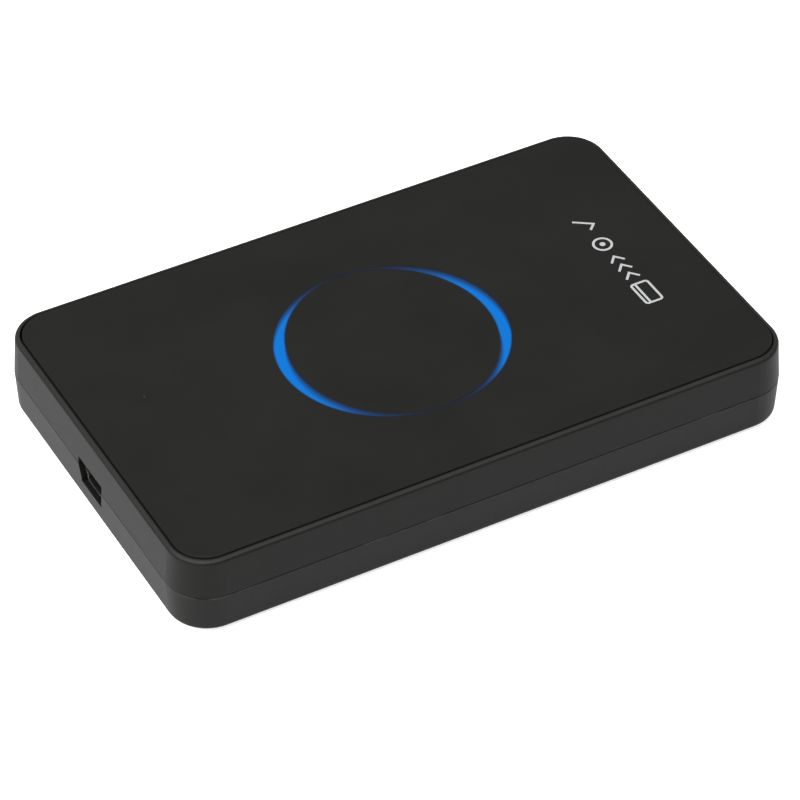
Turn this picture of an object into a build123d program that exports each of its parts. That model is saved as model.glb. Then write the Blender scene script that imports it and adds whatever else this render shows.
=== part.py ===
from build123d import *
from math import atan, cos, degrees, radians, sin
import os

# A desktop RFID card reader: a flat two-shell case with a black face panel, a ring window that glows
# in the panel, a mini-B socket in one end wall, and the board, antenna and light parts inside.
# Millimetres. X runs across the case, +Y points to the socket's end, +Z is up. The origin lies under
# the middle of the case, on the surface that its rubber feet stand on.

# ---- Case ----
LENGTH = 110.0  # along Y, at the reference outline
WIDTH = 67.5  # along X
CORNER = 6.9  # plan radius of the corners
LOWER_HEIGHT = 7.08  # underside to seam
UPPER_HEIGHT = 7.07  # seam to rim
WALL = 2.0
FLOOR_THICKNESS = 1.8
SEAM_GAP = 0.14
TONGUE_INSET, TONGUE_HEIGHT, TONGUE_PLAY = 1.1, 1.0, 0.1
RIM_FILLET = 0.68
UNDERSIDE_FILLET = 0.9
# How far each level of the wall lies inside the reference outline: it leans in away from the seam.
UNDERSIDE_INSET = 0.19
SEAM_INSET = -0.15
RIM_INSET = 0.35

# ---- Face panel and light ring ----
PANEL_THICKNESS = 1.5
TAPE_THICKNESS = 0.15
DECK_THICKNESS = 1.3
PANEL_OPENING_INSET = 1.14  # rim's inner edge
PANEL_INSET = 1.44
PANEL_SHIFT = (0.18, -0.18)  # it sits a little off the middle of its opening
PANEL_BEVEL = 0.05
TAPE_INSET = 2.2
RING_CENTRE = (-0.47, 1.03)
RING_OUTER = (18.63, 19.58)  # ellipse radii along X and Y
RING_INNER = (17.9, 17.09)
BRIDGE_ANGLE = 38  # degrees each side of +X and -X where the deck bridges the ring
SLOT_MARGIN = 0.3
GUIDE_PLAY = 0.1
GUIDE_GAP = 1.6  # board to light guide
BAFFLE_GAP = 1.0  # board to the baffle
BAFFLE_THICKNESS = 1.0

# ---- Printed pictograms: a card, chevrons, a ring and a tick ----
SYMBOL_Y = -41.25
SYMBOL_HEIGHT = 3.5
STROKE = 0.42
INK_DEPTH = 0.1
CARD_X, CARD_WIDTH, CARD_CORNER = -9.8, 5.6, 0.7
STRIPE_RISE = 0.75
CHEVRON_X = (-4.9, -2.5, -0.1)
CHEVRON_HALF = (0.7, 1.25)
RING_MARK_X, DOT_RADIUS = 4.25, 0.5
TICK = [(8.4, -0.2), (9.6, -1.45), (11.6, 1.5)]

# ---- Socket and its port ----
PORT_LEVEL = 3.65  # above the underside
PORT_SLOPE = (1.0, 3.0)  # the sides slant out between these heights above the port's floor
PORT_HEIGHT = 4.85
PORT_LOWER_HALF, PORT_UPPER_HALF = 3.6, 4.2
PORT_OVERRUN = 1.0  # how far its cutter passes the wall's two faces
SOCKET_FRONT = LENGTH / 2 - 0.9
SOCKET_DEPTH = 9.2
SOCKET_HEIGHT = 3.95
SOCKET_UPPER_HALF, SOCKET_LOWER_HALF = 3.85, 3.15
SOCKET_STEP = (1.1, 1.6)
SOCKET_CORNER = 0.45
METAL = 0.3
TAB_PLACES = (1.5, 6.0)  # solder tabs, ahead of the socket's back
TAB_WIDTH, TAB_HEIGHT, TAB_FOOT = 1.6, 2.5, 1.0
TONGUE_TOP = 2.5  # the socket's plastic tongue, above the board
TONGUE_SETBACK = 0.9  # its tip behind the socket's front
SOCKET_TONGUE = (4.2, 1.1)  # width, thickness
BLOCK_DEPTH, BLOCK_PLAY = 2.6, 0.1
CONTACT_PITCH, CONTACT_WIDTH, CONTACT_THICKNESS = 0.8, 0.4, 0.2
CONTACT_SETBACK = 0.6  # its tip behind the tongue's
CONTACT_TAIL, CONTACT_FOOT = 0.4, 1.2  # behind the socket's back, and flat on the board

# ---- Board ----
BOARD_LEVEL = 3.85  # top face, above the underside
BOARD_THICKNESS = 1.2
BOARD_BODY = (61.0, 84.0)
BOARD_ENDS = (44.0, 104.2)
BOARD_CORNER = 1.0

# ---- Fasteners, feet and label ----
CASE_SCREW_SPOTS = [(x, y) for x in (-26.5, 26.5) for y in (-47.0, 47.0)]
BOARD_SCREW_SPOTS = [(x, y) for x in (-27.6, 27.6) for y in (-33.0, 33.0)]
FOOT_RADIUS, FOOT_THICKNESS, FOOT_PROUD, FOOT_FILLET = 4.8, 1.5, 0.8, 0.35
FOOT_RECESS_RADIUS = 5.0
HEAD_POCKET_RADIUS, HEAD_POCKET_DEPTH = 2.6, 1.7
CASE_SCREW = {"radius": 1.15, "length": 7.6, "head_radius": 2.1, "head": 1.4}
BOARD_SCREW = {"radius": 1.0, "length": 3.1, "head_radius": 1.9, "head": 1.2}
SCREW_PLAY = 0.02
CASE_HOLE_RADIUS = 1.35
TUBE_RADIUS, TUBE_HEIGHT = 3.2, 5.6  # tube's top above the underside
BOSS_RADIUS = 2.6
BOSS_BORE_DEPTH = 5.2
PILLAR_RADIUS = 2.6
PILLAR_BORE_DEPTH = 2.1
BOARD_HOLE_RADIUS = 1.15
LABEL = (44.0, 26.0)
LABEL_THICKNESS, LABEL_RECESS, LABEL_CORNER, LABEL_PLAY = 0.15, 0.3, 1.5, 0.3

# ---- Antenna and parts on the board ----
COIL_OUTER, COIL_WINDING, COIL_HEIGHT, COIL_CORNER, COIL_FILLET = (50.0, 76.0), 3.0, 1.7, 9.0, 0.5
LEAD_RADIUS, LEAD_BEND = 0.2, 0.8
LEAD_SPOTS = (-1.5, 1.5)
LEAD_LEVEL = 1.0  # where it leaves the coil, above the board
LEAD_RUN = (0.1, 1.7, 3.1, 4.7)  # start, bends and end, inwards from the coil
LED_ANGLES = (52, 80, 108, 232, 260, 288)
LED_SIZE = (2.0, 1.25, 0.8)
LED_BASE = 0.28  # height of its base, under the lens
LED_LENS, LED_LENS_TAPER = 1.24, 6
MCU_SPOT, MCU_SIZE, MCU_LEADS = (-6.5, 5.0), (7.0, 1.4), (0.5, 12, 1.0)  # side, height; pitch, count, reach
READER_SPOT, READER_SIZE, READER_LEADS = (7.0, 5.0), (5.0, 0.9), (0.5, 8, 0.8)
CRYSTAL_SPOT, CRYSTAL_SIZE = (0.0, -6.0), (11.0, 4.6, 3.5)
CRYSTAL_FLANGE, CRYSTAL_RIM, CRYSTAL_FILLET = 0.4, 0.4, 0.5
REGULATOR_SPOT, REGULATOR_SIZE, REGULATOR_CHAMFER = (-12.0, 28.5), (6.5, 3.5, 1.6), 0.25
REGULATOR_STANDOFF = 0.1
REGULATOR_LEADS = [(0, 2.6, 3.0), (-2.3, -2.6, 0.7), (0, -2.6, 0.7), (2.3, -2.6, 0.7)]  # x, y, width
REGULATOR_LEAD_LENGTH, REGULATOR_LEAD_THICKNESS = 1.9, 0.3
CAPACITOR_SPOT, CAPACITOR_RADIUS, CAPACITOR_HEIGHT, CAPACITOR_FILLET = (12.0, 28.5), 3.15, 5.4, 0.45
CAPACITOR_BASE, CAPACITOR_BASE_RIM, CAPACITOR_BASE_CHAMFER = 0.7, 0.15, 1.4
BUZZER_SPOT, BUZZER_RADIUS, BUZZER_HEIGHT, BUZZER_FILLET = (0.0, -27.8), 6.0, 5.0, 0.6
BUZZER_HOLE = {"radius": 1.0, "counter_bore_radius": 2.2, "counter_bore_depth": 0.3, "depth": 1.6}
CHIP_PART, CERAMIC_HEIGHT, RESISTOR_HEIGHT = (1.6, 0.8), 0.8, 0.45
CERAMIC_SPOTS = [(x, 11.5) for x in (-9.5, -6.0, -2.5, 2.5, 6.0, 9.5)] + [(-5.0, 28.0), (5.0, 28.0)]
RESISTOR_SPOTS = [(x, -1.0) for x in (-10.5, 10.5)] + [(x, -10.8) for x in (-6.0, -2.0, 2.0, 6.0)]

# ---- Levels worked out from the above ----
BASE = FOOT_PROUD
SEAM = BASE + LOWER_HEIGHT
TOP = SEAM + UPPER_HEIGHT
FLOOR = BASE + FLOOR_THICKNESS
PANEL_UNDERSIDE = TOP - PANEL_THICKNESS
DECK_TOP = PANEL_UNDERSIDE - TAPE_THICKNESS
DECK_UNDERSIDE = DECK_TOP - DECK_THICKNESS
BOARD_TOP = BASE + BOARD_LEVEL
BOARD_UNDERSIDE = BOARD_TOP - BOARD_THICKNESS
BAFFLE_LEVEL = BOARD_TOP + BAFFLE_GAP
FOOT_RECESS = FOOT_THICKNESS - FOOT_PROUD
SCREW_SEAT = BASE + FOOT_RECESS + HEAD_POCKET_DEPTH
TUBE_TOP = BASE + TUBE_HEIGHT
SOCKET_BACK = SOCKET_FRONT - SOCKET_DEPTH


def plan(inset, level):
    """The case's outline, set in by a distance, as a face at one level."""
    with BuildSketch(Plane.XY.offset(level)) as outline:
        RectangleRounded(WIDTH - 2 * inset, LENGTH - 2 * inset, CORNER - inset)
    return outline.sketch


def lean(lower_inset, upper_inset, rise):
    """Taper in degrees of a wall that goes from one inset to another over its rise."""
    return degrees(atan((upper_inset - lower_inset) / rise))


def ring(grow, level, ends_only=False):
    """The ring window's face, each edge moved out by a distance, whole or only its two wide ends."""
    with BuildSketch(Plane.XY.offset(level)) as face:
        with Locations(RING_CENTRE):
            Ellipse(RING_OUTER[0] + grow, RING_OUTER[1] + grow)
            Ellipse(RING_INNER[0] - grow, RING_INNER[1] - grow, mode=Mode.SUBTRACT)
            if ends_only:
                x, y = (2 * RING_OUTER[1] * f(radians(BRIDGE_ANGLE)) for f in (cos, sin))
                for side in (-x, x):
                    Polygon((0, 0), (side, y), (side, -y), align=None, mode=Mode.SUBTRACT)
    return face.sketch


def oval(radii, grow, level):
    """A filled ellipse about the ring's centre."""
    with BuildSketch(Plane.XY.offset(level)) as face:
        with Locations(RING_CENTRE):
            Ellipse(radii[0] + grow, radii[1] + grow)
    return face.sketch


def port_cutter():
    """The opening for the socket through the end wall, narrower at its floor."""
    low = BASE + PORT_LEVEL
    with BuildPart() as cutter:
        with BuildSketch(Plane.XZ.offset(-LENGTH / 2 - PORT_OVERRUN)):
            half = [(PORT_LOWER_HALF, low), (PORT_LOWER_HALF, low + PORT_SLOPE[0]),
                    (PORT_UPPER_HALF, low + PORT_SLOPE[1]), (PORT_UPPER_HALF, low + PORT_HEIGHT)]
            Polygon(*half, *[(-x, z) for x, z in reversed(half)], align=None)
        extrude(amount=WALL + 2 * PORT_OVERRUN)
    return cutter.part


def screw(radius, length, head_radius, head):
    """A pan-head screw standing point up, its head's bearing face at z = 0, with a cross recess."""
    crown_radius, shoulder = head_radius * 0.6, -head * 0.55
    cross, blade, recess_depth = head_radius * 1.1, head_radius * 0.24, head * 0.6
    with BuildPart() as made:
        with BuildSketch(Plane.XZ):
            with BuildLine():
                Polyline((0, -head), (crown_radius, -head), (head_radius, shoulder), (head_radius, 0),
                         (radius, 0), (radius, length - radius), (0, length), (0, -head))
            make_face()
        revolve(axis=Axis.Z)
        with BuildSketch(Plane.XY.offset(-head)):
            Rectangle(cross, blade)
            Rectangle(blade, cross)
        extrude(amount=recess_depth, mode=Mode.SUBTRACT)
    return made.part


def leaded_chip(body, height, pitch, pins, reach):
    """A square chip body with bent leads on its four sides, standing on z = 0."""
    lead_width, thickness, standoff, corner = pitch * 0.45, 0.15, 0.1, body * 0.04
    with BuildPart() as chip:
        with BuildSketch(Plane.XY.offset(standoff)):
            Rectangle(body, body)
        extrude(amount=height)
        chamfer(chip.edges().filter_by(Axis.Z), corner)
        # each lead is an arm out of the body, a riser and a foot on the board
        arm_level = height * 0.5
        for out, length, level, rise in [
            (reach * 0.2, reach * 0.4 + thickness, arm_level, thickness),
            (reach * 0.4, thickness, 0, arm_level + thickness),
            (reach * 0.7, reach * 0.6, 0, thickness),
        ]:
            with BuildSketch(Plane.XY.offset(level)):
                with PolarLocations(body / 2 + out, 4):
                    with GridLocations(0, pitch, 1, pins):
                        Rectangle(length, lead_width)
            extrude(amount=rise)
    return chip.part


# ---- Lower shell ----
lower_edge = SEAM - SEAM_GAP / 2
with BuildPart() as lower_shell:
    rise = lower_edge - BASE
    extrude(plan(UNDERSIDE_INSET, BASE), amount=rise, taper=lean(UNDERSIDE_INSET, SEAM_INSET, rise))
    fillet(lower_shell.edges().group_by(Axis.Z)[0], UNDERSIDE_FILLET)
    extrude(plan(WALL, FLOOR), amount=SEAM - FLOOR, mode=Mode.SUBTRACT)
    # tongue that locates the upper shell
    with BuildSketch(Plane.XY.offset(lower_edge)):
        add(plan(TONGUE_INSET, 0))
        add(plan(WALL, 0), mode=Mode.SUBTRACT)
    extrude(amount=TONGUE_HEIGHT)
    # tubes for the case screws and pillars for the board
    with BuildSketch(Plane.XY.offset(FLOOR)):
        with Locations(*CASE_SCREW_SPOTS):
            Circle(TUBE_RADIUS)
    extrude(amount=TUBE_TOP - FLOOR)
    with BuildSketch(Plane.XY.offset(FLOOR)):
        with Locations(*BOARD_SCREW_SPOTS):
            Circle(PILLAR_RADIUS)
    extrude(amount=BOARD_UNDERSIDE - FLOOR)
    with Locations(*[(x, y, BOARD_UNDERSIDE) for x, y in BOARD_SCREW_SPOTS]):
        Hole(BOARD_SCREW["radius"] + SCREW_PLAY, depth=PILLAR_BORE_DEPTH)
    # recesses for the feet, with the screw holes in their floors
    with BuildSketch(Plane.XY.offset(BASE)):
        with Locations(*CASE_SCREW_SPOTS):
            Circle(FOOT_RECESS_RADIUS)
    extrude(amount=FOOT_RECESS, mode=Mode.SUBTRACT)
    with BuildSketch(Plane.XY.offset(BASE + FOOT_RECESS)):
        with Locations(*CASE_SCREW_SPOTS):
            Circle(HEAD_POCKET_RADIUS)
    extrude(amount=HEAD_POCKET_DEPTH, mode=Mode.SUBTRACT)
    with Locations(*[(x, y, TUBE_TOP) for x, y in CASE_SCREW_SPOTS]):
        Hole(CASE_HOLE_RADIUS, depth=TUBE_TOP - SCREW_SEAT)
    with BuildSketch(Plane.XY.offset(BASE)):
        RectangleRounded(LABEL[0] + 2 * LABEL_PLAY, LABEL[1] + 2 * LABEL_PLAY, LABEL_CORNER + LABEL_PLAY)
    extrude(amount=LABEL_RECESS, mode=Mode.SUBTRACT)
    add(port_cutter(), mode=Mode.SUBTRACT)
lower_shell.part.label = "lower_shell"

# ---- Upper shell ----
upper_edge = SEAM + SEAM_GAP / 2
with BuildPart() as upper_shell:
    rise = TOP - upper_edge
    extrude(plan(SEAM_INSET, upper_edge), amount=rise, taper=lean(SEAM_INSET, RIM_INSET, rise))
    fillet(upper_shell.edges().group_by(Axis.Z)[-1], RIM_FILLET)
    extrude(plan(PANEL_OPENING_INSET, DECK_TOP), amount=TOP - DECK_TOP, mode=Mode.SUBTRACT)
    extrude(plan(WALL, upper_edge), amount=DECK_UNDERSIDE - upper_edge, mode=Mode.SUBTRACT)
    # rabbet that the lower shell's tongue enters
    extrude(plan(TONGUE_INSET - TONGUE_PLAY, upper_edge), amount=TONGUE_HEIGHT, mode=Mode.SUBTRACT)
    # slots in the deck under the ring's two ends
    extrude(ring(SLOT_MARGIN + GUIDE_PLAY, DECK_UNDERSIDE, ends_only=True), amount=DECK_THICKNESS,
            mode=Mode.SUBTRACT)
    # bosses for the case screws
    with BuildSketch(Plane.XY.offset(TUBE_TOP)):
        with Locations(*CASE_SCREW_SPOTS):
            Circle(BOSS_RADIUS)
            Circle(CASE_SCREW["radius"] + SCREW_PLAY, mode=Mode.SUBTRACT)
    extrude(amount=BOSS_BORE_DEPTH)
    with BuildSketch(Plane.XY.offset(TUBE_TOP + BOSS_BORE_DEPTH)):
        with Locations(*CASE_SCREW_SPOTS):
            Circle(BOSS_RADIUS)
    extrude(amount=DECK_UNDERSIDE - TUBE_TOP - BOSS_BORE_DEPTH)
    add(port_cutter(), mode=Mode.SUBTRACT)
upper_shell.part.label = "upper_shell"

# ---- Light baffle: two oval walls welded under the deck, one on each side of the light guide ----
with BuildPart() as light_baffle:
    with BuildSketch(Plane.XY.offset(BAFFLE_LEVEL)):
        add(oval(RING_OUTER, SLOT_MARGIN + GUIDE_PLAY + BAFFLE_THICKNESS, 0))
        add(ring(SLOT_MARGIN + GUIDE_PLAY, 0), mode=Mode.SUBTRACT)
        add(oval(RING_INNER, -SLOT_MARGIN - GUIDE_PLAY - BAFFLE_THICKNESS, 0), mode=Mode.SUBTRACT)
    extrude(amount=DECK_UNDERSIDE - BAFFLE_LEVEL)
light_baffle.part.label = "light_baffle"

# ---- Printed pictograms, as ink that fills shallow engravings ----
with BuildPart() as card_symbol:
    with BuildSketch(Plane.XY.offset(TOP - INK_DEPTH)):
        with Locations((CARD_X, SYMBOL_Y)):
            RectangleRounded(CARD_WIDTH, SYMBOL_HEIGHT, CARD_CORNER)
            RectangleRounded(CARD_WIDTH - 2 * STROKE, SYMBOL_HEIGHT - 2 * STROKE, CARD_CORNER - STROKE,
                             mode=Mode.SUBTRACT)
        with Locations((CARD_X, SYMBOL_Y + STRIPE_RISE)):
            Rectangle(CARD_WIDTH - STROKE, STROKE)
        with Locations((RING_MARK_X, SYMBOL_Y)):
            Circle(SYMBOL_HEIGHT / 2)
            Circle(SYMBOL_HEIGHT / 2 - STROKE, mode=Mode.SUBTRACT)
            Circle(DOT_RADIUS)
        for x in CHEVRON_X:
            with BuildLine() as chevron:
                Polyline((x - CHEVRON_HALF[0], SYMBOL_Y + CHEVRON_HALF[1]), (x + CHEVRON_HALF[0], SYMBOL_Y),
                         (x - CHEVRON_HALF[0], SYMBOL_Y - CHEVRON_HALF[1]))
            trace(chevron.line, line_width=STROKE)
        with BuildLine() as tick:
            Polyline(*[(x, SYMBOL_Y + rise) for x, rise in TICK])
        trace(tick.line, line_width=STROKE)
    extrude(amount=INK_DEPTH)
card_symbol.part.label = "card_symbol"

# ---- Face panel, its centre disc and the ring window between them ----
with BuildPart() as face_panel:
    with BuildSketch(Plane.XY.offset(PANEL_UNDERSIDE)):
        with Locations(PANEL_SHIFT):
            add(plan(PANEL_INSET, 0))
    extrude(amount=PANEL_THICKNESS)
    chamfer(face_panel.edges().group_by(Axis.Z)[-1], PANEL_BEVEL)
    extrude(oval(RING_OUTER, 0, PANEL_UNDERSIDE), amount=PANEL_THICKNESS, mode=Mode.SUBTRACT)
    add(card_symbol.part, mode=Mode.SUBTRACT)
face_panel.part.label = "face_panel"

with BuildPart() as centre_disc:
    extrude(oval(RING_INNER, 0, PANEL_UNDERSIDE), amount=PANEL_THICKNESS)
centre_disc.part.label = "centre_disc"

with BuildPart() as light_window:
    extrude(ring(0, PANEL_UNDERSIDE), amount=PANEL_THICKNESS)
light_window.part.label = "light_window"

# ---- Double-sided tape between the deck and the panel ----
with BuildPart() as panel_adhesive:
    extrude(plan(TAPE_INSET, DECK_TOP), amount=TAPE_THICKNESS)
    extrude(ring(SLOT_MARGIN + GUIDE_PLAY, DECK_TOP), amount=TAPE_THICKNESS, mode=Mode.SUBTRACT)
panel_adhesive.part.label = "panel_adhesive"

# ---- Light guide: a ring under the deck, with raised ends through its slots ----
with BuildPart() as light_guide:
    extrude(ring(SLOT_MARGIN, BOARD_TOP + GUIDE_GAP), amount=DECK_UNDERSIDE - BOARD_TOP - GUIDE_GAP)
    extrude(ring(SLOT_MARGIN, DECK_UNDERSIDE, ends_only=True), amount=PANEL_UNDERSIDE - DECK_UNDERSIDE)
light_guide.part.label = "light_guide"

# ---- Mini-B socket: metal shell, plastic block with its tongue, five contacts ----
socket_half = [
    (SOCKET_LOWER_HALF, BOARD_TOP), (SOCKET_LOWER_HALF, BOARD_TOP + SOCKET_STEP[0]),
    (SOCKET_UPPER_HALF, BOARD_TOP + SOCKET_STEP[1]), (SOCKET_UPPER_HALF, BOARD_TOP + SOCKET_HEIGHT),
]
socket_outline = socket_half + [(-x, z) for x, z in reversed(socket_half)]

with BuildPart() as usb_shell:
    with BuildSketch(Plane.XZ.offset(-SOCKET_FRONT)) as socket_profile:
        Polygon(*socket_outline, align=None)
        fillet(socket_profile.vertices(), SOCKET_CORNER)
        offset(amount=-METAL, mode=Mode.SUBTRACT)
    extrude(amount=SOCKET_DEPTH)
    # tabs soldered to the board
    for side in (-1, 1):
        for y in (SOCKET_BACK + place for place in TAB_PLACES):
            with Locations((side * (SOCKET_UPPER_HALF + METAL / 2), y, BOARD_TOP + TAB_HEIGHT / 2)):
                Box(METAL, TAB_WIDTH, TAB_HEIGHT)
            with Locations((side * (SOCKET_UPPER_HALF + TAB_FOOT / 2), y, BOARD_TOP + METAL / 2)):
                Box(TAB_FOOT, TAB_WIDTH, METAL)
usb_shell.part.label = "usb_shell"

tongue_front = SOCKET_FRONT - TONGUE_SETBACK
contact_front = tongue_front - CONTACT_SETBACK
contact_back = SOCKET_BACK - CONTACT_TAIL
contact_level = BOARD_TOP + TONGUE_TOP
with BuildPart() as usb_contacts:
    for index in range(-2, 3):
        x = index * CONTACT_PITCH
        with Locations((x, (contact_front + contact_back) / 2, contact_level - CONTACT_THICKNESS / 2)):
            Box(CONTACT_WIDTH, contact_front - contact_back, CONTACT_THICKNESS)
        with Locations((x, contact_back + CONTACT_THICKNESS / 2, (BOARD_TOP + contact_level) / 2)):
            Box(CONTACT_WIDTH, CONTACT_THICKNESS, contact_level - BOARD_TOP)
        with Locations((x, contact_back + CONTACT_THICKNESS - CONTACT_FOOT / 2,
                        BOARD_TOP + CONTACT_THICKNESS / 2)):
            Box(CONTACT_WIDTH, CONTACT_FOOT, CONTACT_THICKNESS)
usb_contacts.part.label = "usb_contacts"

with BuildPart() as usb_insulator:
    with BuildSketch(Plane.XZ.offset(-SOCKET_BACK - BLOCK_DEPTH)) as block_profile:
        Polygon(*socket_outline, align=None)
        fillet(block_profile.vertices(), SOCKET_CORNER)
        offset(amount=-METAL, mode=Mode.REPLACE)
    extrude(amount=BLOCK_DEPTH - BLOCK_PLAY)
    with BuildSketch(Plane.XZ.offset(-tongue_front)):
        with Locations((0, contact_level - SOCKET_TONGUE[1] / 2)):
            Rectangle(*SOCKET_TONGUE)
    extrude(amount=tongue_front - SOCKET_BACK - BLOCK_DEPTH)
    add(usb_contacts.part, mode=Mode.SUBTRACT)
usb_insulator.part.label = "usb_insulator"

# ---- Main board ----
with BuildPart() as main_board:
    with BuildSketch(Plane.XY.offset(BOARD_UNDERSIDE)) as board_outline:
        Rectangle(*BOARD_BODY)
        Rectangle(*BOARD_ENDS)
        fillet(board_outline.vertices(), BOARD_CORNER)
    extrude(amount=BOARD_THICKNESS)
    with Locations(*[(x, y, BOARD_TOP) for x, y in BOARD_SCREW_SPOTS]):
        Hole(BOARD_HOLE_RADIUS)
main_board.part.label = "main_board"

# ---- Antenna coil and its leads ----
inner_coil = (COIL_OUTER[0] - 2 * COIL_WINDING, COIL_OUTER[1] - 2 * COIL_WINDING)
with BuildPart() as antenna_coil:
    with BuildSketch(Plane.XY.offset(BOARD_TOP)):
        RectangleRounded(*COIL_OUTER, COIL_CORNER)
        RectangleRounded(*inner_coil, COIL_CORNER - COIL_WINDING, mode=Mode.SUBTRACT)
    extrude(amount=COIL_HEIGHT)
    fillet(antenna_coil.edges().filter_by(Axis.Z, reverse=True), COIL_FILLET)
antenna_coil.part.label = "antenna_coil"

with BuildPart() as coil_leads:
    rises = (LEAD_LEVEL, LEAD_LEVEL, LEAD_RADIUS, LEAD_RADIUS)
    for x in LEAD_SPOTS:
        with BuildLine() as route:
            bends = [(x, inner_coil[1] / 2 - run, BOARD_TOP + rise) for run, rise in zip(LEAD_RUN, rises)]
            FilletPolyline(*bends, radius=LEAD_BEND)
        with BuildSketch(Plane(origin=route.line @ 0, z_dir=route.line % 0)):
            Circle(LEAD_RADIUS)
        sweep(path=route.line)
coil_leads.part.label = "coil_leads"

# ---- LEDs, spaced round the light guide's two ends ----
mid_ring = [(RING_OUTER[i] + RING_INNER[i]) / 2 for i in range(2)]
leds = []
for number, angle in enumerate(LED_ANGLES, start=1):
    turn = radians(angle)
    spot = (RING_CENTRE[0] + mid_ring[0] * cos(turn), RING_CENTRE[1] + mid_ring[1] * sin(turn))
    seat = Plane(origin=(*spot, BOARD_TOP), x_dir=(-sin(turn), cos(turn), 0))
    with BuildPart(seat) as led:
        Box(*LED_SIZE[:2], LED_BASE, align=(Align.CENTER, Align.CENTER, Align.MIN))
        with BuildSketch(seat.offset(LED_BASE)):
            Rectangle(LED_LENS, LED_SIZE[1])
        extrude(amount=LED_SIZE[2] - LED_BASE, taper=LED_LENS_TAPER)
    led.part.label = f"led_{number}"
    leds.append(led.part)

# ---- Chips and other parts soldered to the board ----
with BuildPart() as mcu_chip:
    with Locations((*MCU_SPOT, BOARD_TOP)):
        add(leaded_chip(*MCU_SIZE, *MCU_LEADS))
mcu_chip.part.label = "mcu_chip"

with BuildPart() as reader_chip:
    with Locations((*READER_SPOT, BOARD_TOP)):
        add(leaded_chip(*READER_SIZE, *READER_LEADS))
reader_chip.part.label = "reader_chip"

with BuildPart() as crystal:
    with BuildSketch(Plane.XY.offset(BOARD_TOP)):
        with Locations(CRYSTAL_SPOT):
            SlotOverall(CRYSTAL_SIZE[0], CRYSTAL_SIZE[1])
    extrude(amount=CRYSTAL_FLANGE)
    with BuildSketch(Plane.XY.offset(BOARD_TOP + CRYSTAL_FLANGE)):
        with Locations(CRYSTAL_SPOT):
            SlotOverall(CRYSTAL_SIZE[0] - 2 * CRYSTAL_RIM, CRYSTAL_SIZE[1] - 2 * CRYSTAL_RIM)
    extrude(amount=CRYSTAL_SIZE[2] - CRYSTAL_FLANGE)
    fillet(crystal.edges().group_by(Axis.Z)[-1], CRYSTAL_FILLET)
crystal.part.label = "crystal"

with BuildPart() as regulator:
    with Locations((*REGULATOR_SPOT, BOARD_TOP + REGULATOR_STANDOFF)):
        Box(*REGULATOR_SIZE, align=(Align.CENTER, Align.CENTER, Align.MIN))
    chamfer(regulator.edges().group_by(Axis.Z)[-1], REGULATOR_CHAMFER)
    for x, y, width in REGULATOR_LEADS:
        with Locations((REGULATOR_SPOT[0] + x, REGULATOR_SPOT[1] + y, BOARD_TOP)):
            Box(width, REGULATOR_LEAD_LENGTH, REGULATOR_LEAD_THICKNESS,
                align=(Align.CENTER, Align.CENTER, Align.MIN))
regulator.part.label = "regulator"

with BuildPart() as bulk_capacitor:
    with BuildSketch(Plane.XY.offset(BOARD_TOP)) as base_outline:
        with Locations(CAPACITOR_SPOT):
            Rectangle(*[2 * (CAPACITOR_RADIUS + CAPACITOR_BASE_RIM)] * 2)
        chamfer(base_outline.vertices().sort_by(Axis.X)[-2:], CAPACITOR_BASE_CHAMFER)
    extrude(amount=CAPACITOR_BASE)
    with BuildSketch(Plane.XY.offset(BOARD_TOP + CAPACITOR_BASE)):
        with Locations(CAPACITOR_SPOT):
            Circle(CAPACITOR_RADIUS)
    extrude(amount=CAPACITOR_HEIGHT - CAPACITOR_BASE)
    fillet(bulk_capacitor.edges().group_by(Axis.Z)[-1], CAPACITOR_FILLET)
bulk_capacitor.part.label = "bulk_capacitor"

with BuildPart() as buzzer:
    with BuildSketch(Plane.XY.offset(BOARD_TOP)):
        with Locations(BUZZER_SPOT):
            Circle(BUZZER_RADIUS)
    extrude(amount=BUZZER_HEIGHT)
    fillet(buzzer.edges().group_by(Axis.Z)[-1], BUZZER_FILLET)
    with Locations((*BUZZER_SPOT, BOARD_TOP + BUZZER_HEIGHT)):
        CounterBoreHole(**BUZZER_HOLE)
buzzer.part.label = "buzzer"

with BuildPart() as ceramic_capacitors:
    with Locations(*[(x, y, BOARD_TOP + CERAMIC_HEIGHT / 2) for x, y in CERAMIC_SPOTS]):
        Box(CHIP_PART[1], CHIP_PART[0], CERAMIC_HEIGHT)
ceramic_capacitors.part.label = "ceramic_capacitors"

with BuildPart() as resistors:
    with Locations(*[(x, y, BOARD_TOP + RESISTOR_HEIGHT / 2) for x, y in RESISTOR_SPOTS]):
        Box(*CHIP_PART, RESISTOR_HEIGHT)
resistors.part.label = "resistors"

# ---- Fasteners ----
with BuildPart() as case_screws:
    with Locations(*[(x, y, SCREW_SEAT) for x, y in CASE_SCREW_SPOTS]):
        add(screw(**CASE_SCREW))
case_screws.part.label = "case_screws"

head_up = [Plane(origin=(x, y, BOARD_TOP), z_dir=(0, 0, -1)) for x, y in BOARD_SCREW_SPOTS]
with BuildPart() as board_screws:
    with Locations(*head_up):
        add(screw(**BOARD_SCREW))
board_screws.part.label = "board_screws"

# ---- Feet ----
feet = []
for x, y in CASE_SCREW_SPOTS:
    with BuildPart() as foot:
        with BuildSketch() as footprint:
            with Locations((x, y)):
                Circle(FOOT_RADIUS)
        extrude(amount=FOOT_THICKNESS)
        fillet(foot.edges().group_by(Axis.Z)[0], FOOT_FILLET)
    foot.part.label = f"foot_{'front' if y < 0 else 'rear'}_{'left' if x < 0 else 'right'}"
    feet.append(foot.part)

# ---- Blank rating label in its recess ----
with BuildPart() as rating_label:
    with BuildSketch(Plane.XY.offset(BASE + LABEL_RECESS - LABEL_THICKNESS)):
        RectangleRounded(*LABEL, LABEL_CORNER)
    extrude(amount=LABEL_THICKNESS)
rating_label.part.label = "rating_label"

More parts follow.
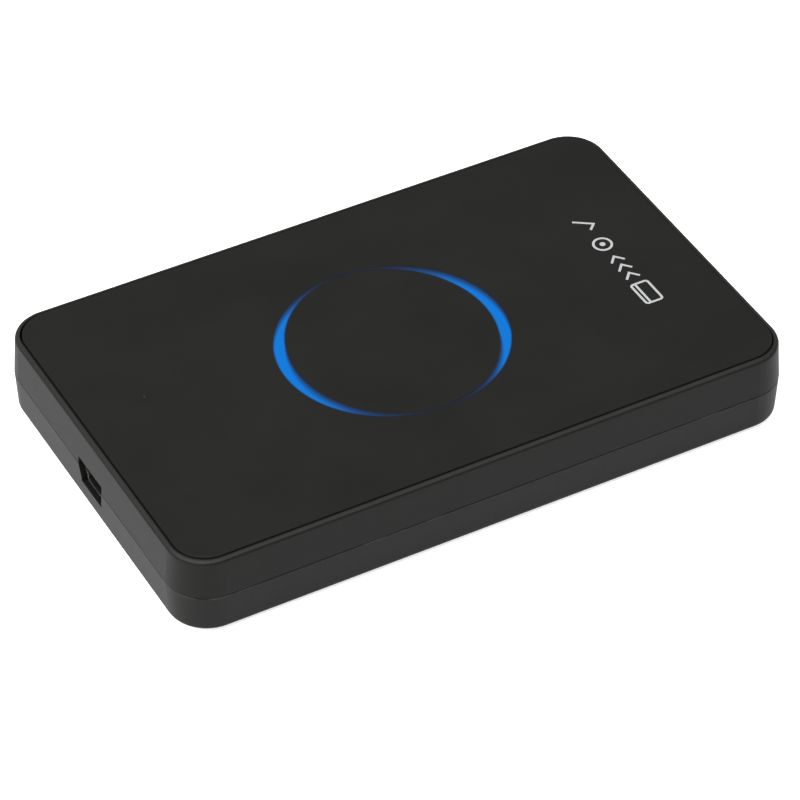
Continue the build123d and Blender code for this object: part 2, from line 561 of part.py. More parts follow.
pieces = [
    lower_shell, upper_shell, light_baffle, card_symbol, face_panel, centre_disc, light_window,
    panel_adhesive, light_guide, usb_shell, usb_contacts, usb_insulator, main_board,
    antenna_coil, coil_leads, mcu_chip, reader_chip, crystal, regulator, bulk_capacitor, buzzer,
    ceramic_capacitors, resistors, case_screws, board_screws, rating_label,
]
os.makedirs("parts", exist_ok=True)
for solid in [piece.part for piece in pieces] + leds + feet:
    export_step(solid, f"parts/{solid.label}.step")
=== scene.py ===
from math import radians

import bpy
from mathutils import Euler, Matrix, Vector


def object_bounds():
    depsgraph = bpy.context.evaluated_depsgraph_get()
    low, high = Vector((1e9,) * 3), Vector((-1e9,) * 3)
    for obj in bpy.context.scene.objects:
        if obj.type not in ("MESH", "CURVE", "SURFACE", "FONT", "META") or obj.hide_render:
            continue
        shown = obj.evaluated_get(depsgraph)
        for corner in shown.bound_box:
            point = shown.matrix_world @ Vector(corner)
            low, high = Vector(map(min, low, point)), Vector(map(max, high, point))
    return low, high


# An RFID card reader under soft studio light: the camera, the floor and lamps, and a procedural
# material for each of the case's and the board's pieces. Every pattern is laid out by Object
# coordinates, so lengths in the materials are real ones: millimetres in the row's frame.

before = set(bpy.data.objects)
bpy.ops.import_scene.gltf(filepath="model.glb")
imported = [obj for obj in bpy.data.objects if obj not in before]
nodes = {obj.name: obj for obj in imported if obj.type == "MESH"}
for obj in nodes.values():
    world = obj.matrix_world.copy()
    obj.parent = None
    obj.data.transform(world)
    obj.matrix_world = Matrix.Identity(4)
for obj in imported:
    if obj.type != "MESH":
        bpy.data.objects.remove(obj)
cad_low, cad_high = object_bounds()

MM = 0.001

# ---- Camera ----
LENS, SENSOR = 183.036, 36.0  # mm
CLIP = (0.01, 50.0)  # m
AIM = (-6.540, 2.963)  # where the optical axis meets mid height, from the middle of the case, mm
AZIMUTH, ELEVATION, ROLL = -118.996, 41.324, 0.273  # degrees
DISTANCE = 655.83  # mm

# ---- Floor and light ----
WHITE = (1, 1, 1, 1)
FLOOR_SIZE = 8.0  # m
FLOOR_GREY = 0.62
FLOOR_ROUGHNESS, FLOOR_SPECULAR = 0.9, 0.1
FLOOR_GLOW = 0.6  # the floor is a light table: its own light softens the contact shadow
WORLD_GREY = 0.30
# name, place, size (m) and power (W): each lamp points at the case
SOFTBOXES = (
    ("overhead_softbox", (-0.4, 0.7, 1.6), 2.2, 112.0),
    ("end_softbox", (0.3, 1.3, 0.9), 0.9, 6.5),
)

# ---- Levels and places that the patterns follow, mm ----
SEAM_LEVEL, RIM_LEVEL = 7.88, 14.95
RUB_BAND = (0.24, 0.05)  # depths below the seam that are rubbed pale
RIM_BAND = (0.34, 0.06)  # depths below the rim: case black at the first, full painted reflection at the second
SAWN_SHADE_BAND = (0.005, 0.03)  # depths below the rim: coated panel at the first, sawn edge in painted shade at the second
RING_MIDDLE = (-0.47, 1.03)
RING_OUTER, RING_INNER = (18.63, 19.58), (17.9, 17.09)  # radii along X and Y
BOARD_BOTTOM, BOARD_TOP, BOARD_MASK = 3.45, 4.65, 0.06
SOCKET_FRONT = 54.1
SOCKET_EDGE_BAND = (0.10, 0.03)  # distances behind the front: plated sheet in painted shade at the first, bright cut edge at the second
# a box a little larger than the port
PORT_HALF, PORT_LEVELS, PORT_BACK, PORT_MOUTH = 4.35, (4.3, 9.45), 52.5, 54.8
COIL_HALF, COIL_CORNER, WIRE_PITCH = (25.0, 38.0), 9.0, 0.3
WIRE_RIDGE = (0.05, 0.5)  # shares of the pitch: a turn's foot and its crest
# name, middle, half the black body along X and Y, and half the width of the change to the leads
CHIPS = (
    ("mcu_chip", (-6.5, 5.0), (3.5, 3.5), 0.02),
    ("reader_chip", (7.0, 5.0), (2.5, 2.5), 0.02),
    ("regulator", (-12.0, 28.5), (10.0, 1.75), 0.03),  # leads past its body along Y only
)
PIN_ONE, PIN_DOT = (-1.4, 1.0), (0.34, 0.28)  # place from a chip's middle; outer and full radius
# the parts' middles along their own axis, Y or X, and how far from there the bare body reaches
CERAMIC_ROWS, CERAMIC_BODY = (11.5, 28.0), 0.48
RESISTOR_ROWS, RESISTOR_BODY = (-10.5, -6.0, -2.0, 2.0, 6.0, 10.5), 0.5
CAPACITOR_SIDE = (20.0, 21.0)  # the crystal lies below this Y and the bulk capacitor above it
CAPACITOR_BASE = 0.70  # height of the capacitor's plastic base
LED_BASE = 0.28
SHARP_LINE, CAP_LINE = 0.02, 0.03  # half the width of the change between two colours
THREAD_PITCH = 0.7
TREAD = (0.12, 0.0)  # levels on a foot: unworn at the first, worn at the second
LABEL_HALF, LABEL_CORNER, LABEL_INSET, LABEL_LINE = (22.0, 13.0), 1.5, 1.1, 0.2

# ---- Ring light ----
GLOW_ANGLE = 82.5  # degrees from +X to the brighter axis
GLOW_RANGE = (-1.4, 0.2)  # cosine of twice the angle off that axis: no light (past its lowest), full
SHADE_ANGLE = 337.5  # degrees from +X to the side whose wall shades the window
SHADE_REACH, EDGE_REACH = 1.98, 0.35  # how far the dark reaches in from that wall and the others, mm
GLOW_CONTRAST = 1.32
GLOW_COLOR = (0.0, 0.27, 1.0)
GLOW_STRENGTH = 0.71

# ---- Noise ----
NOISE_SPAN = (0.25, 0.75)  # a noise seldom leaves this
NOISE_PATCH = (0.45, 0.55)  # cut to this, it becomes patches with short edges
SPECK_CORE = 0.5  # a speck is full over this share of its radius

# ---- Colours: a pair is the two ends of a cloudy mixture ----
BLACK = (0.0, 0.0, 0.0)
CASE_BLACK = (0.0020, 0.0020, 0.0018), (0.0032, 0.0031, 0.0028)
CASE_STREAK = (0.0050, 0.0049, 0.0045)
# painted reflection on the rim
RIM_PAINTED_SHEEN = (0.0125, 0.0122, 0.0115)
SEAM_RUB = (0.040, 0.039, 0.037)
CASE_DUST = (0.17, 0.165, 0.155)
# painted shade inside the port
PORT_PAINTED_SHADE = (0.0012, 0.0012, 0.0011)
PANEL_BLACK = (0.0033, 0.0033, 0.0028), (0.0047, 0.0047, 0.0041)
PANEL_DUST = (0.13, 0.125, 0.12)
# painted shade on the panel's sawn sides and bevel
PANEL_EDGE_PAINTED_SHADE = (0.0015, 0.0015, 0.0014)
WINDOW_UNLIT = (0.0040, 0.0042, 0.0056), (0.0062, 0.0065, 0.0082)
INK = (0.220, 0.224, 0.228), (0.280, 0.284, 0.288)
# painted shade on the socket's plated sheet
SOCKET_PLATE_PAINTED_SHADE = (0.075, 0.072, 0.064), (0.13, 0.125, 0.115)
SOCKET_EDGE = (0.42, 0.41, 0.38)
SOCKET_PLASTIC = (0.008, 0.008, 0.008), (0.014, 0.014, 0.014)
GOLD = (0.78, 0.55, 0.22), (0.90, 0.68, 0.32)
SOLDER_MASK = (0.008, 0.085, 0.035), (0.012, 0.11, 0.045)
TRACK = (0.02, 0.20, 0.075)
FIBRE = (0.42, 0.38, 0.22), (0.56, 0.52, 0.33)
COPPER = (0.55, 0.19, 0.07), (0.72, 0.30, 0.12)
# painted shade between the coil's turns
WIRE_GAP_PAINTED_SHADE = (0.10, 0.03, 0.012)
EPOXY = (0.016, 0.016, 0.017), (0.028, 0.028, 0.030)
PIN_MARK = (0.10, 0.10, 0.10)
LEAD = (0.58, 0.58, 0.57)
CAN = (0.58, 0.58, 0.57), (0.74, 0.74, 0.72)
CAN_BASE = (0.02, 0.02, 0.02)
TIN = (0.62, 0.62, 0.60)
CERAMIC = (0.34, 0.22, 0.12), (0.46, 0.31, 0.18)
RESISTOR = (0.012, 0.012, 0.014), (0.022, 0.022, 0.025)
BUZZER = (0.012, 0.012, 0.012), (0.022, 0.022, 0.022)
LED_BODY = (0.72, 0.70, 0.62), (0.84, 0.82, 0.74)
LED_LENS = (0.55, 0.66, 0.80), (0.66, 0.76, 0.88)
STEEL = (0.42, 0.42, 0.41), (0.60, 0.60, 0.59)
FOAM = (0.014, 0.014, 0.014), (0.032, 0.032, 0.031)
MILK = (0.74, 0.77, 0.80), (0.84, 0.86, 0.88)
RUBBER = (0.012, 0.012, 0.012), (0.022, 0.022, 0.021)
RUBBER_WORN = (0.07, 0.068, 0.062)
LINT = (0.20, 0.19, 0.17)
LABEL_FILM = (0.38, 0.38, 0.38), (0.46, 0.46, 0.455)
LABEL_SCUFF = (0.30, 0.30, 0.295)
LABEL_INK = (0.03, 0.03, 0.03)


def build_camera():
    data = bpy.data.cameras.new("camera")
    data.lens, data.sensor_width = LENS, SENSOR
    data.clip_start, data.clip_end = CLIP
    camera = bpy.data.objects.new("camera", data)
    bpy.context.scene.collection.objects.link(camera)
    turn = Euler((radians(90 - ELEVATION), 0, radians(AZIMUTH))).to_matrix()
    middle = (Vector(cad_low) + Vector(cad_high)) / 2
    target = middle + Vector((*AIM, 0)) * MM
    camera.location = target + turn @ Vector((0, 0, DISTANCE * MM))
    camera.rotation_euler = (turn @ Euler((0, 0, radians(ROLL))).to_matrix()).to_euler()
    bpy.context.scene.camera = camera


def build_floor():
    half = FLOOR_SIZE / 2
    corners = [(-half, -half, 0), (half, -half, 0), (half, half, 0), (-half, half, 0)]
    mesh = bpy.data.meshes.new("floor")
    mesh.from_pydata(corners, [], [(0, 1, 2, 3)])
    floor = bpy.data.objects.new("floor", mesh)
    bpy.context.scene.collection.objects.link(floor)
    paint = bpy.data.materials.new("floor_paint")
    paint.use_nodes = True
    surface = paint.node_tree.nodes["Principled BSDF"]
    surface.inputs["Base Color"].default_value = (FLOOR_GREY, FLOOR_GREY, FLOOR_GREY, 1)
    surface.inputs["Roughness"].default_value = FLOOR_ROUGHNESS
    surface.inputs["Specular IOR Level"].default_value = FLOOR_SPECULAR
    surface.inputs["Emission Color"].default_value = WHITE
    surface.inputs["Emission Strength"].default_value = FLOOR_GLOW
    mesh.materials.append(paint)


def build_lights():
    world = bpy.data.worlds.new("studio")
    world.use_nodes = True
    backdrop = world.node_tree.nodes["Background"]
    backdrop.inputs["Color"].default_value = WHITE
    backdrop.inputs["Strength"].default_value = WORLD_GREY
    bpy.context.scene.world = world
    for name, place, size, watts in SOFTBOXES:
        data = bpy.data.lights.new(name, "AREA")
        data.size, data.energy = size, watts
        lamp = bpy.data.objects.new(name, data)
        lamp.location = place
        lamp.rotation_euler = (-Vector(place)).to_track_quat("-Z", "Y").to_euler()
        bpy.context.scene.collection.objects.link(lamp)


class Paint:
    """A material in the making: its Principled shader, and short calls for the nodes that feed it.

    Lengths are in millimetres. Masks and noises run from 0 to 1.
    """

    def __init__(self, name, **constants):
        self.material = bpy.data.materials.new(name)
        self.material.use_nodes = True
        self.tree = self.material.node_tree
        self.shader = self.tree.nodes["Principled BSDF"]
        for socket, value in constants.items():
            self.shader.inputs[socket.replace("_", " ")].default_value = value
        scale = self.node("ShaderNodeVectorMath", operation="SCALE")
        self.feed(scale.inputs[0], self.node("ShaderNodeTexCoord").outputs["Object"])
        scale.inputs["Scale"].default_value = 1 / MM
        self.place = scale.outputs["Vector"]
        split = self.node("ShaderNodeSeparateXYZ")
        self.feed(split.inputs[0], self.place)
        self.x, self.y, self.z = split.outputs

    def node(self, kind, **settings):
        made = self.tree.nodes.new(kind)
        for key, value in settings.items():
            setattr(made, key, value)
        return made

    def feed(self, socket, source):
        if isinstance(source, bpy.types.NodeSocket):
            self.tree.links.new(source, socket)
        elif isinstance(source, tuple) and socket.type == "RGBA":
            socket.default_value = (*source, 1)
        else:
            socket.default_value = source

    def math(self, operation, *sources):
        made = self.node("ShaderNodeMath", operation=operation)
        for socket, source in zip(made.inputs, sources):
            self.feed(socket, source)
        return made.outputs[0]

    def chain(self, operation, sources):
        """One value out of many, taken in two by two."""
        result = sources[0]
        for source in sources[1:]:
            result = self.math(operation, result, source)
        return result

    def times(self, *sources):
        return self.chain("MULTIPLY", sources)

    def most(self, *sources):
        return self.chain("MAXIMUM", sources)

    def least(self, *sources):
        return self.chain("MINIMUM", sources)

    def off(self, axis, middle):
        """How far the axis value is from the middle, either way."""
        return self.math("ABSOLUTE", self.math("SUBTRACT", axis, middle))

    def step(self, source, start, end, smooth=True):
        """0 up to start and 1 from end on, with a smooth rise between; a fall if end is below start."""
        made = self.node("ShaderNodeMapRange", interpolation_type="SMOOTHSTEP" if smooth else "LINEAR")
        low, high = min(start, end), max(start, end)
        values = (source, low, high, *((0.0, 1.0) if start < end else (1.0, 0.0)))
        for socket, value in zip(made.inputs, values):
            self.feed(socket, value)
        return made.outputs[0]

    def between(self, source, low, high, edge):
        """1 from low to high, falling to 0 over an edge outside each."""
        return self.times(self.step(source, low - edge, low), self.step(source, high + edge, high))

    def noise(self, size, detail=2.0, stretch=(1, 1, 1)):
        """Noise whose features are about size across, longer where stretch is below 1."""
        mapping = self.node("ShaderNodeMapping")
        self.feed(mapping.inputs["Vector"], self.place)
        mapping.inputs["Scale"].default_value = stretch
        texture = self.node("ShaderNodeTexNoise")
        self.feed(texture.inputs["Vector"], mapping.outputs[0])
        texture.inputs["Scale"].default_value = 1 / size
        texture.inputs["Detail"].default_value = detail
        return texture.outputs["Fac"]

    def patches(self, size, detail=2.0):
        """1 in patches over about half of the surface and 0 between them."""
        return self.step(self.noise(size, detail), *NOISE_PATCH)

    def specks(self, spacing, radius, share):
        """1 inside small round specks: a share of the cells of a loose grid hold one."""
        cells = self.node("ShaderNodeTexVoronoi")
        self.feed(cells.inputs["Vector"], self.place)
        cells.inputs["Scale"].default_value = 1 / spacing
        inside = self.step(cells.outputs["Distance"], radius / spacing, radius / spacing * SPECK_CORE)
        pick = self.node("ShaderNodeSeparateColor")
        self.feed(pick.inputs[0], cells.outputs["Color"])
        return self.times(inside, self.math("LESS_THAN", pick.outputs[0], share))

    def beyond(self, half, corner):
        """How far out a point is from the rounded rectangle's core, the rectangle of its corner centres:
        the corner's radius on the outline itself, and negative inside the core."""
        out = [self.math("SUBTRACT", self.math("ABSOLUTE", axis), size - corner)
               for axis, size in zip((self.x, self.y), half)]
        clear = [self.math("MAXIMUM", value, 0.0) for value in out]
        squares = [self.times(value, value) for value in clear]
        bend = self.math("SQRT", self.math("ADD", *squares))
        return self.math("ADD", bend, self.math("MINIMUM", self.most(*out), 0.0))

    def mix(self, share, a, b):
        """Colour a where share is 0, colour b where it is 1."""
        made = self.node("ShaderNodeMix", data_type="RGBA")
        factor, first, second = made.inputs[0], made.inputs[6], made.inputs[7]
        self.feed(factor, share)
        self.feed(first, a)
        self.feed(second, b)
        return made.outputs[2]

    def grey(self, source, low, high):
        """A value from low to high as the noise goes over the span that it seldom leaves."""
        made = self.node("ShaderNodeMapRange")
        for socket, value in zip(made.inputs, (source, *NOISE_SPAN, low, high)):
            self.feed(socket, value)
        return made.outputs[0]

    def finish(self, tone, rough, height, depth, strength):
        """Feeds the shader. depth is how far the height's 0 lies below its 1."""
        self.feed(self.shader.inputs["Base Color"], tone)
        self.feed(self.shader.inputs["Roughness"], rough)
        bump = self.node("ShaderNodeBump")
        bump.inputs["Strength"].default_value = strength
        bump.inputs["Distance"].default_value = depth * MM
        self.feed(bump.inputs["Height"], height)
        self.feed(self.shader.inputs["Normal"], bump.outputs["Normal"])

    def cover(self, *names):
        for name in names:
            for slot in nodes[name].material_slots:
                slot.material = self.material


def paint_case():
    paint = Paint("case_plastic", Specular_IOR_Level=0.125)
    grain = paint.noise(0.22, detail=3)
    cloud = paint.noise(11.0, detail=3)
    streaks = paint.noise(1.6, detail=3, stretch=(1, 0.12, 1))
    dust = paint.specks(spacing=4.2, radius=0.13, share=0.035)
    # the lower shell's upper edge is rubbed pale in places
    near_seam = paint.between(paint.z, *[SEAM_LEVEL - depth for depth in RUB_BAND], edge=0.08)
    rubbed = paint.times(near_seam, paint.patches(3.4, detail=4), paint.patches(23.0))
    tone = paint.mix(cloud, *CASE_BLACK)
    tone = paint.mix(paint.times(streaks, 0.35), tone, CASE_STREAK)
    # painted reflection: the rim is coloured a lighter grey, in clouds, standing in for the light that its
    # top and fillet reflect
    rim = paint.step(paint.z, *[RIM_LEVEL - depth for depth in RIM_BAND])
    tone = paint.mix(paint.times(rim, paint.grey(cloud, 0.8, 1.0)), tone, RIM_PAINTED_SHEEN)
    tone = paint.mix(paint.times(rubbed, 0.5), tone, SEAM_RUB)
    tone = paint.mix(paint.times(dust, 0.7), tone, CASE_DUST)
    # painted shade: the faces inside the port are coloured near black and made rougher
    in_port = paint.times(paint.between(paint.x, -PORT_HALF, PORT_HALF, edge=0.05),
                          paint.between(paint.z, *PORT_LEVELS, edge=0.05),
                          paint.between(paint.y, PORT_BACK, PORT_MOUTH, edge=0.08))
    tone = paint.mix(in_port, tone, PORT_PAINTED_SHADE)
    rough = paint.math("ADD", paint.grey(grain, 0.48, 0.58), paint.times(rubbed, 0.15))
    rough = paint.math("MULTIPLY_ADD", in_port, 0.4, rough)
    height = paint.math("ADD", grain, paint.times(dust, 2.0))
    paint.finish(tone, rough, height, depth=0.010, strength=0.5)
    paint.cover("upper_shell", "lower_shell", "light_baffle")


def paint_panel():
    paint = Paint("panel_black", Specular_IOR_Level=0.26)
    grain = paint.noise(0.14, detail=2)
    smudge = paint.noise(16.0, detail=4)
    wipe = paint.noise(2.2, detail=4, stretch=(1, 0.25, 1))
    dust = paint.specks(spacing=6.0, radius=0.11, share=0.02)
    # the sides below the coated top are sawn and left dull, and coloured darker as painted shade in the
    # groove around the panel
    sawn_and_shaded = paint.step(paint.z, *[RIM_LEVEL - depth for depth in SAWN_SHADE_BAND])
    tone = paint.mix(smudge, *PANEL_BLACK)
    tone = paint.mix(paint.times(dust, 0.6), tone, PANEL_DUST)
    tone = paint.mix(sawn_and_shaded, tone, PANEL_EDGE_PAINTED_SHADE)
    rough = paint.math("ADD", paint.grey(smudge, 0.36, 0.42), paint.times(wipe, 0.05))
    rough = paint.math("MULTIPLY_ADD", sawn_and_shaded, 0.5, rough)
    paint.finish(tone, rough, paint.math("ADD", grain, dust), depth=0.006, strength=0.3)
    paint.cover("face_panel", "centre_disc")


def paint_ring():
    """The lit window: brightest towards the two wide ends, shaded by the slot's wall on one side."""
    paint = Paint("ring_light", Specular_IOR_Level=0.12)
    x = paint.math("SUBTRACT", paint.x, RING_MIDDLE[0])
    y = paint.math("SUBTRACT", paint.y, RING_MIDDLE[1])
    angle = paint.math("ARCTAN2", y, x)
    twice = paint.math("MULTIPLY_ADD", angle, 2.0, -2 * radians(GLOW_ANGLE))
    towards_ends = paint.step(paint.math("COSINE", twice), *GLOW_RANGE, smooth=False)
    facing = paint.math("COSINE", paint.math("SUBTRACT", angle, radians(SHADE_ANGLE)))

    def clear_of(radii, side):
        """How clear of the dark along one edge: side is 1 inside that edge, -1 outside it."""
        squares = [paint.math("POWER", paint.math("DIVIDE", across, radius), 2.0)
                   for across, radius in zip((x, y), radii)]
        way_out = paint.math("SQRT", paint.math("ADD", *squares))
        off = paint.times(paint.math("SUBTRACT", 1.0, way_out), side * sum(radii) / 2)
        shaded = paint.most(paint.times(facing, side), 0.0)
        reach = paint.math("MULTIPLY_ADD", shaded, SHADE_REACH, EDGE_REACH)
        return paint.step(paint.math("DIVIDE", off, reach), 0.0, 1.0, smooth=False)

    clear = paint.times(clear_of(RING_OUTER, 1), clear_of(RING_INNER, -1))
    band = paint.math("POWER", clear, GLOW_CONTRAST)
    cloud = paint.noise(1.3, detail=3)
    glow = paint.times(towards_ends, band, paint.grey(cloud, 0.96, 1.04))
    paint.feed(paint.shader.inputs["Emission Color"], paint.mix(glow, BLACK, GLOW_COLOR))
    paint.shader.inputs["Emission Strength"].default_value = GLOW_STRENGTH
    unlit = paint.mix(cloud, *WINDOW_UNLIT)
    tone = paint.mix(glow, unlit, BLACK)
    grain = paint.noise(0.14, detail=2)
    paint.finish(tone, paint.grey(grain, 0.38, 0.46), grain, depth=0.004, strength=0.3)
    paint.cover("light_window")


def paint_ink():
    paint = Paint("panel_ink")
    grain = paint.noise(0.10, detail=3)
    worn = paint.noise(0.8, detail=4)
    tone = paint.mix(worn, *INK)
    paint.finish(tone, paint.grey(grain, 0.48, 0.62), grain, depth=0.01, strength=0.4)
    paint.cover("card_symbol")


def paint_socket_shell():
    paint = Paint("socket_metal", Metallic=1.0)
    brushed = paint.noise(0.35, detail=3, stretch=(1, 0.15, 1))
    tarnish = paint.noise(1.1, detail=4)
    # painted shade: the plated sheet is coloured dark, in mottled tones, behind the mouth; its cut front
    # edge stays bright
    mouth = paint.step(paint.y, *[SOCKET_FRONT - depth for depth in SOCKET_EDGE_BAND])
    shaded_plate = paint.mix(tarnish, *SOCKET_PLATE_PAINTED_SHADE)
    tone = paint.mix(mouth, shaded_plate, SOCKET_EDGE)
    paint.finish(tone, paint.grey(brushed, 0.30, 0.42), brushed, depth=0.01, strength=0.4)
    paint.cover("usb_shell")


def paint_insulator():
    paint = Paint("socket_plastic")
    grain = paint.noise(0.3, detail=3)
    tone = paint.mix(grain, *SOCKET_PLASTIC)
    paint.finish(tone, paint.grey(grain, 0.5, 0.65), grain, depth=0.01, strength=0.4)
    paint.cover("usb_insulator")


def paint_contacts():
    paint = Paint("contact_metal", Metallic=1.0)
    wiped = paint.noise(0.25, detail=3, stretch=(1, 0.2, 1))
    tone = paint.mix(wiped, *GOLD)
    paint.finish(tone, paint.grey(wiped, 0.2, 0.35), wiped, depth=0.006, strength=0.4)
    paint.cover("usb_contacts")


def paint_board():
    """Copper tracks in two directions under the mask, their grid broken up by blocks."""
    block, spacing, start, end = 7.0, 0.6, 0.26, 0.32  # mm: tracks lie twice the spacing apart
    turned_from, bare_below = 0.5, 0.35  # a block's two random numbers turn its tracks or leave it bare
    paint = Paint("board")
    blocks = paint.node("ShaderNodeTexVoronoi", distance="CHEBYCHEV")
    paint.feed(blocks.inputs["Vector"], paint.place)
    blocks.inputs["Scale"].default_value = 1 / block
    pick = paint.node("ShaderNodeSeparateColor")
    paint.feed(pick.inputs[0], blocks.outputs["Color"])
    rows, columns = [paint.step(paint.math("PINGPONG", along, spacing), start, end)
                     for along in (paint.y, paint.x)]
    upright = paint.math("GREATER_THAN", pick.outputs[0], turned_from)
    tracks = paint.math("MULTIPLY_ADD", upright, paint.math("SUBTRACT", columns, rows), rows)
    wired = paint.times(tracks, paint.math("GREATER_THAN", pick.outputs[1], bare_below))
    weave = paint.noise(0.5, detail=2, stretch=(1, 0.4, 1))
    mask = paint.mix(weave, *SOLDER_MASK)
    mask = paint.mix(wired, mask, TRACK)
    edge = paint.between(paint.z, BOARD_BOTTOM + BOARD_MASK, BOARD_TOP - BOARD_MASK, edge=0.03)
    fibre = paint.mix(paint.noise(0.2, stretch=(0.2, 0.2, 2)), *FIBRE)
    rough = paint.math("ADD", paint.grey(weave, 0.3, 0.4), paint.times(edge, 0.3))
    height = paint.math("ADD", wired, paint.times(weave, 0.2))
    paint.finish(paint.mix(edge, mask, fibre), rough, height, depth=0.03, strength=0.5)
    paint.cover("main_board")


def paint_coil():
    """Enamelled wire: fine turns seen as ridges that follow the coil's rounded rectangle, with painted
    shade between them.
    """
    paint = Paint("copper_wire", Metallic=1.0)
    turns = [paint.math("DIVIDE", across, WIRE_PITCH)
             for across in (paint.beyond(COIL_HALF, COIL_CORNER), paint.z)]
    wires = paint.times(*[paint.step(paint.math("PINGPONG", turn, 0.5), *WIRE_RIDGE) for turn in turns])
    shade = paint.noise(3.0, detail=3)
    # painted shade in the creases between the wire's turns
    tone = paint.mix(wires, WIRE_GAP_PAINTED_SHADE, paint.mix(shade, *COPPER))
    paint.finish(tone, paint.grey(shade, 0.25, 0.4), wires, depth=0.1, strength=0.8)
    paint.cover("antenna_coil", "coil_leads")


def paint_chips():
    """Black epoxy bodies with tinned leads and a dot at pin one."""
    for name, middle, half, edge in CHIPS:
        paint = Paint(name)
        grain = paint.noise(0.15, detail=3)
        out = [paint.math("SUBTRACT", paint.off(axis, at), size)
               for axis, at, size in zip((paint.x, paint.y), middle, half)]
        leads = paint.step(paint.most(*out), -edge, edge)
        flat = paint.node("ShaderNodeCombineXYZ")
        paint.feed(flat.inputs[0], paint.x)
        paint.feed(flat.inputs[1], paint.y)
        dot = paint.node("ShaderNodeVectorMath", operation="DISTANCE")
        paint.feed(dot.inputs[0], flat.outputs[0])
        dot.inputs[1].default_value = (middle[0] + PIN_ONE[0], middle[1] + PIN_ONE[1], 0)
        pin_one = paint.step(dot.outputs["Value"], *PIN_DOT)
        tone = paint.mix(paint.times(pin_one, 0.6), paint.mix(grain, *EPOXY), PIN_MARK)
        tone = paint.mix(leads, tone, LEAD)
        rough = paint.math("SUBTRACT", paint.grey(grain, 0.5, 0.65), paint.times(leads, 0.25))
        height = paint.math("SUBTRACT", grain, paint.times(pin_one, 4.0))
        paint.finish(tone, rough, height, depth=0.02, strength=0.5)
        paint.cover(name)


def paint_cans():
    paint = Paint("can_metal", Metallic=1.0)
    drawn = paint.noise(0.3, detail=3, stretch=(1, 1, 0.1))
    scuff = paint.noise(1.5, detail=5)
    tone = paint.mix(scuff, *CAN)
    # the capacitor stands on a black plastic base
    base_top = BOARD_TOP + CAPACITOR_BASE
    foot = paint.times(paint.step(paint.y, *CAPACITOR_SIDE),
                       paint.step(paint.z, base_top + SHARP_LINE, base_top - SHARP_LINE))
    tone = paint.mix(foot, tone, CAN_BASE)
    paint.finish(tone, paint.grey(drawn, 0.22, 0.38), drawn, depth=0.01, strength=0.4)
    paint.cover("crystal", "bulk_capacitor")


def caps(paint, rows, axis, reach):
    """1 on the tinned ends of small parts: each lies along the axis with its middle at one of the rows."""
    nearest = paint.least(*[paint.off(axis, row) for row in rows])
    return paint.step(nearest, reach - CAP_LINE, reach + CAP_LINE)


def paint_ceramics():
    paint = Paint("ceramic")
    glaze = paint.noise(0.2, detail=3)
    body = paint.mix(glaze, *CERAMIC)
    tone = paint.mix(caps(paint, CERAMIC_ROWS, paint.y, CERAMIC_BODY), body, TIN)
    paint.finish(tone, paint.grey(glaze, 0.35, 0.5), glaze, depth=0.01, strength=0.4)
    paint.cover("ceramic_capacitors")


def paint_resistors():
    paint = Paint("resistor_black")
    glaze = paint.noise(0.2, detail=3)
    body = paint.mix(glaze, *RESISTOR)
    tone = paint.mix(caps(paint, RESISTOR_ROWS, paint.x, RESISTOR_BODY), body, TIN)
    paint.finish(tone, paint.grey(glaze, 0.3, 0.45), glaze, depth=0.01, strength=0.4)
    paint.cover("resistors")


def paint_buzzer():
    paint = Paint("buzzer_black")
    grain = paint.noise(0.25, detail=3)
    tone = paint.mix(paint.noise(3.0, detail=3), *BUZZER)
    paint.finish(tone, paint.grey(grain, 0.4, 0.6), grain, depth=0.02, strength=0.5)
    paint.cover("buzzer")


def paint_leds():
    paint = Paint("led")
    frost = paint.noise(0.15, detail=3)
    base_top = BOARD_TOP + LED_BASE
    lens = paint.step(paint.z, base_top - SHARP_LINE, base_top + SHARP_LINE)
    base = paint.mix(frost, *LED_BODY)
    dome = paint.mix(frost, *LED_LENS)
    paint.finish(paint.mix(lens, base, dome), paint.grey(frost, 0.3, 0.5), frost, depth=0.01, strength=0.4)
    paint.cover(*[name for name in nodes if name.startswith("led_")])


def paint_screws():
    paint = Paint("screw_steel", Metallic=1.0)
    turned = paint.noise(0.2, detail=3)
    stain = paint.noise(0.9, detail=4)
    tone = paint.mix(stain, *STEEL)
    # the thread is ridges up the screw
    thread = paint.math("PINGPONG", paint.math("DIVIDE", paint.z, THREAD_PITCH), 0.5)
    height = paint.math("ADD", thread, paint.times(turned, 0.1))
    paint.finish(tone, paint.grey(turned, 0.25, 0.4), height, depth=0.15, strength=0.6)
    paint.cover("case_screws", "board_screws")


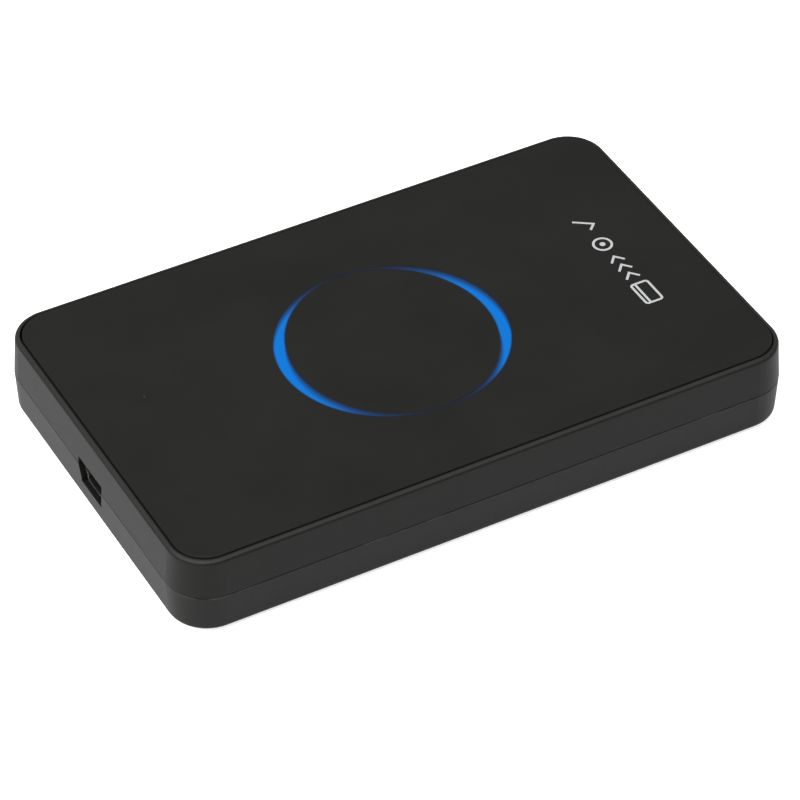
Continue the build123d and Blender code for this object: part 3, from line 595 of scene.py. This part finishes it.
def paint_tape():
    paint = Paint("tape")
    foam = paint.noise(0.18, detail=4)
    tone = paint.mix(foam, *FOAM)
    paint.finish(tone, paint.grey(foam, 0.8, 0.95), foam, depth=0.05, strength=0.8)
    paint.cover("panel_adhesive")


def paint_diffuser():
    paint = Paint("diffuser")
    milk = paint.noise(1.4, detail=4)
    tone = paint.mix(milk, *MILK)
    paint.finish(tone, paint.grey(milk, 0.4, 0.55), milk, depth=0.02, strength=0.3)
    paint.cover("light_guide")


def paint_feet():
    paint = Paint("foot_rubber", Specular_IOR_Level=0.3)
    grain = paint.noise(0.3, detail=4)
    wear = paint.noise(2.6, detail=4)
    lint = paint.specks(spacing=1.7, radius=0.10, share=0.08)
    tread = paint.step(paint.z, *TREAD)
    tone = paint.mix(grain, *RUBBER)
    tone = paint.mix(paint.times(tread, wear, 0.5), tone, RUBBER_WORN)
    tone = paint.mix(paint.times(lint, 0.6), tone, LINT)
    paint.finish(tone, paint.grey(grain, 0.72, 0.9), grain, depth=0.04, strength=0.7)
    paint.cover(*[name for name in nodes if name.startswith("foot_")])


def paint_label():
    paint = Paint("label")
    film = paint.noise(0.5, detail=3, stretch=(0.08, 1, 1))
    scuff = paint.noise(5.0, detail=5)
    tone = paint.mix(film, *LABEL_FILM)
    tone = paint.mix(paint.times(scuff, 0.3), tone, LABEL_SCUFF)
    # a thin printed frame, parallel to the label's edge
    outer = LABEL_CORNER - LABEL_INSET
    reach = paint.beyond(LABEL_HALF, LABEL_CORNER)
    border = paint.between(reach, outer - LABEL_LINE, outer, edge=0.03)
    tone = paint.mix(border, tone, LABEL_INK)
    paint.finish(tone, paint.grey(scuff, 0.35, 0.55), film, depth=0.008, strength=0.4)
    paint.cover("rating_label")


build_camera()
build_floor()
build_lights()
paint_case()
paint_panel()
paint_ring()
paint_ink()
paint_socket_shell()
paint_insulator()
paint_contacts()
paint_board()
paint_coil()
paint_chips()
paint_cans()
paint_ceramics()
paint_resistors()
paint_buzzer()
paint_leds()
paint_screws()
paint_tape()
paint_diffuser()
paint_feet()
paint_label()

bpy.context.scene.view_settings.view_transform = "Standard"
